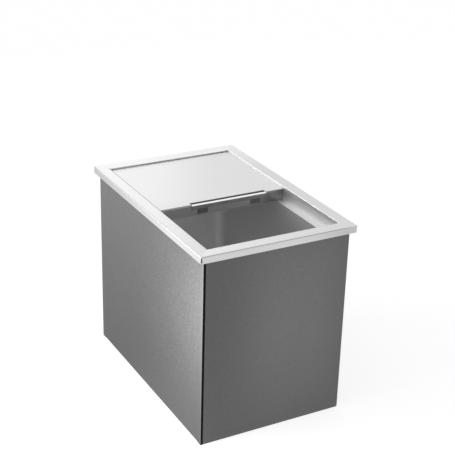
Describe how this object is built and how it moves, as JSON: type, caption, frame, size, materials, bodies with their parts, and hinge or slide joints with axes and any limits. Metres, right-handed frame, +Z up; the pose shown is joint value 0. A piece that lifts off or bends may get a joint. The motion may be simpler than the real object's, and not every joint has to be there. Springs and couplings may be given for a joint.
{
  "type": "drop-in ice bin",
  "caption": "Drop-in insulated stainless ice bin: deep tub in a foam-lined casing under a folded rim, with a sliding half cover over a fixed rear cover and a plugged floor drain.",
  "frame": {"origin": "on the floor under the middle of the bin's rim", "axes": "+Z up, +X across the bin to the right seen from the front, -Y towards the front, where the bin is open"},
  "size_m": [0.305, 0.458, 0.371],
  "materials": {
    "rim_steel": "satin",
    "cover_steel": "satin",
    "casing_steel": "satin",
    "tub_steel": "satin",
    "hidden_steel": "matte",
    "drain_steel": "satin",
    "nut_brass": "satin",
    "fibre": "matte",
    "foam": "matte",
    "rubber": "matte",
    "glide_plastic": "matte"
  },
  "bodies": {
    "bin": {"top_rim": "rim_steel", "rear_cover": "cover_steel", "left_panel": "casing_steel", "right_panel": "casing_steel", "front_panel": "casing_steel", "rear_panel": "casing_steel", "inner_tub": "tub_steel", "base_pan": "hidden_steel", "front_left_joiner": "hidden_steel", "front_right_joiner": "hidden_steel", "rear_left_joiner": "hidden_steel", "rear_right_joiner": "hidden_steel", "drain_spud": "drain_steel", "drain_strainer": "drain_steel", "drain_locknut": "nut_brass", "drain_washer": "fibre", "foam_base": "foam", "foam_left": "foam", "foam_right": "foam", "foam_front": "foam", "foam_rear": "foam", "drain_gasket": "rubber"},
    "cover": {"sliding_cover": "cover_steel", "cover_handle": "cover_steel", "left_cover_glide": "glide_plastic", "right_cover_glide": "glide_plastic"},
    "plug": {"drain_plug": "rubber"}
  },
  "joints": [
    {"name": "cover_slide", "type": "slide", "parent": "bin", "child": "cover", "axis": [0, -1, 0], "range_m": [0, 0.185]},
    {"name": "plug_lift", "type": "slide", "parent": "bin", "child": "plug", "axis": [0, 0, 1], "range_m": [0, 0.04]}
  ]
}
